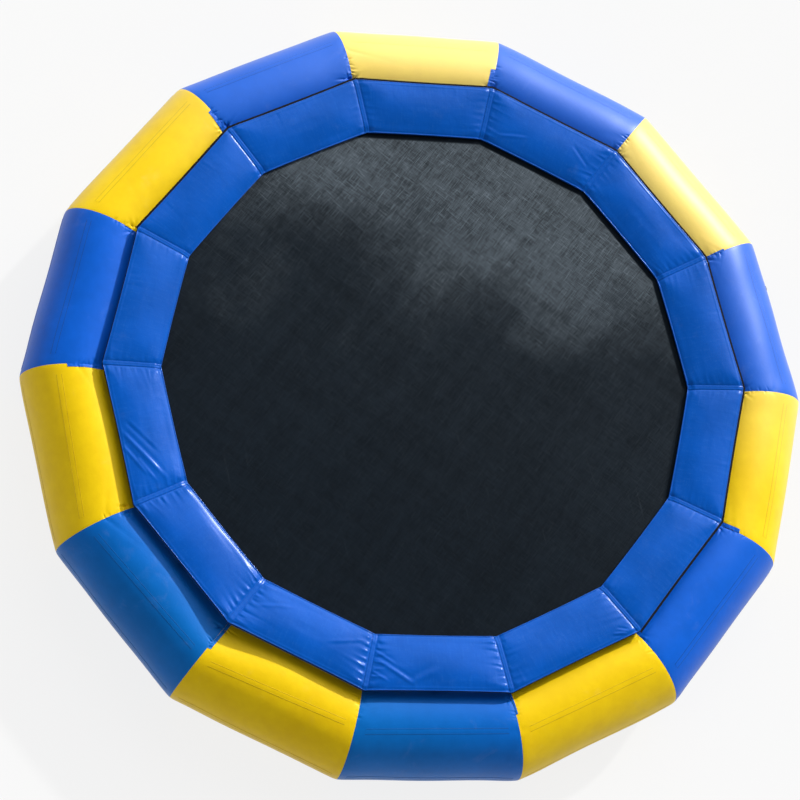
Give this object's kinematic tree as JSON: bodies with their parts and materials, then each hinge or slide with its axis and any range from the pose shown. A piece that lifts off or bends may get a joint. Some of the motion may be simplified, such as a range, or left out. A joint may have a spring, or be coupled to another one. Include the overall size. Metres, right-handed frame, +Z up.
{
  "type": "water trampoline",
  "caption": "Round inflatable water trampoline: a yellow and blue air ring with a hoop frame, springs, blue edge pads and a dark woven jump mat.",
  "frame": {"origin": "on the surface that the ring rests on, under the middle of the jump mat", "axes": "+Z up; +X through a corner between two panels; the inflation valve is on the -Y side"},
  "size_m": [6.1008, 5.9893, 0.8517],
  "materials": {
    "tube_blue": "coated PVC cloth, semi-gloss",
    "tube_yellow": "coated PVC cloth, semi-gloss",
    "pad_vinyl": "vinyl cover over foam, glossy",
    "jump_mat": "tight woven polypropylene, satin",
    "zinc_steel": "galvanised",
    "steel": "stainless, satin",
    "black_plastic": "moulded, matte",
    "valve_plastic": "moulded, matte"
  },
  "bodies": {
    "ring": {"tube_panel_01": "tube_yellow", "tube_panel_02": "tube_blue", "tube_panel_03": "tube_yellow", "tube_panel_04": "tube_blue", "tube_panel_05": "tube_yellow", "tube_panel_06": "tube_blue", "tube_panel_07": "tube_yellow", "tube_panel_08": "tube_blue", "tube_panel_09": "tube_yellow", "tube_panel_10": "tube_blue", "tube_panel_11": "tube_yellow", "tube_panel_12": "tube_blue", "tube_panel_13": "tube_yellow", "tube_panel_14": "tube_blue", "edge_pad_01": "pad_vinyl", "edge_pad_02": "pad_vinyl", "edge_pad_03": "pad_vinyl", "edge_pad_04": "pad_vinyl", "edge_pad_05": "pad_vinyl", "edge_pad_06": "pad_vinyl", "edge_pad_07": "pad_vinyl", "edge_pad_08": "pad_vinyl", "edge_pad_09": "pad_vinyl", "edge_pad_10": "pad_vinyl", "edge_pad_11": "pad_vinyl", "edge_pad_12": "pad_vinyl", "edge_pad_13": "pad_vinyl", "edge_pad_14": "pad_vinyl", "frame_section_1": "zinc_steel", "frame_section_2": "zinc_steel", "frame_section_3": "zinc_steel", "frame_section_4": "zinc_steel", "frame_section_5": "zinc_steel", "frame_section_6": "zinc_steel", "frame_section_7": "zinc_steel", "frame_screw_1": "steel", "frame_screw_2": "steel", "frame_screw_3": "steel", "frame_screw_4": "steel", "frame_screw_5": "steel", "frame_screw_6": "steel", "frame_screw_7": "steel", "spring_bank_1": "zinc_steel", "spring_bank_2": "zinc_steel", "spring_bank_3": "zinc_steel", "spring_bank_4": "zinc_steel", "spring_bank_5": "zinc_steel", "spring_bank_6": "zinc_steel", "spring_bank_7": "zinc_steel", "valve_body": "valve_plastic", "valve_spring": "steel"},
    "mat": {"jump_mat": "jump_mat"},
    "valve_stem": {"valve_stem": "black_plastic"},
    "valve_cap": {"valve_cap": "black_plastic"},
    "anchor_ring_1": {"anchor_ring_1": "steel"},
    "anchor_ring_2": {"anchor_ring_2": "steel"},
    "anchor_ring_3": {"anchor_ring_3": "steel"},
    "anchor_ring_4": {"anchor_ring_4": "steel"}
  },
  "joints": [
    {"name": "mat_bounce", "type": "slide", "parent": "ring", "child": "mat", "axis": [0, 0, 1], "range_m": [-0.25, 0], "stiffness_N_per_m": 8000, "springref_m": 0.01, "deforming": ["spring_bank_1", "spring_bank_2", "spring_bank_3", "spring_bank_4", "spring_bank_5", "spring_bank_6", "spring_bank_7"]},
    {"name": "valve_stem_push", "type": "slide", "parent": "ring", "child": "valve_stem", "axis": [0, 1, 0], "range_m": [0, 0.004], "stiffness_N_per_m": 500, "springref_m": -0.004, "deforming": ["valve_spring"]},
    {"name": "valve_cap_lift", "type": "slide", "parent": "ring", "child": "valve_cap", "axis": [0, -1, 0], "range_m": [0, 0.045]},
    {"name": "anchor_ring_1_swing", "type": "hinge", "parent": "ring", "child": "anchor_ring_1", "pos_m": [2.85367, -0.65133, 0.19363], "axis": [-0.2225, -0.9749, 0], "range_deg": [-20, 140]},
    {"name": "anchor_ring_2_swing", "type": "hinge", "parent": "ring", "child": "anchor_ring_2", "pos_m": [0, -2.92706, 0.19363], "axis": [-1, 0, 0], "range_deg": [-20, 140]},
    {"name": "anchor_ring_3_swing", "type": "hinge", "parent": "ring", "child": "anchor_ring_3", "pos_m": [-2.85367, 0.65133, 0.19363], "axis": [0.2225, 0.9749, 0], "range_deg": [-20, 140]},
    {"name": "anchor_ring_4_swing", "type": "hinge", "parent": "ring", "child": "anchor_ring_4", "pos_m": [0, 2.92706, 0.19363], "axis": [1, 0, 0], "range_deg": [-20, 140]}
  ]
}
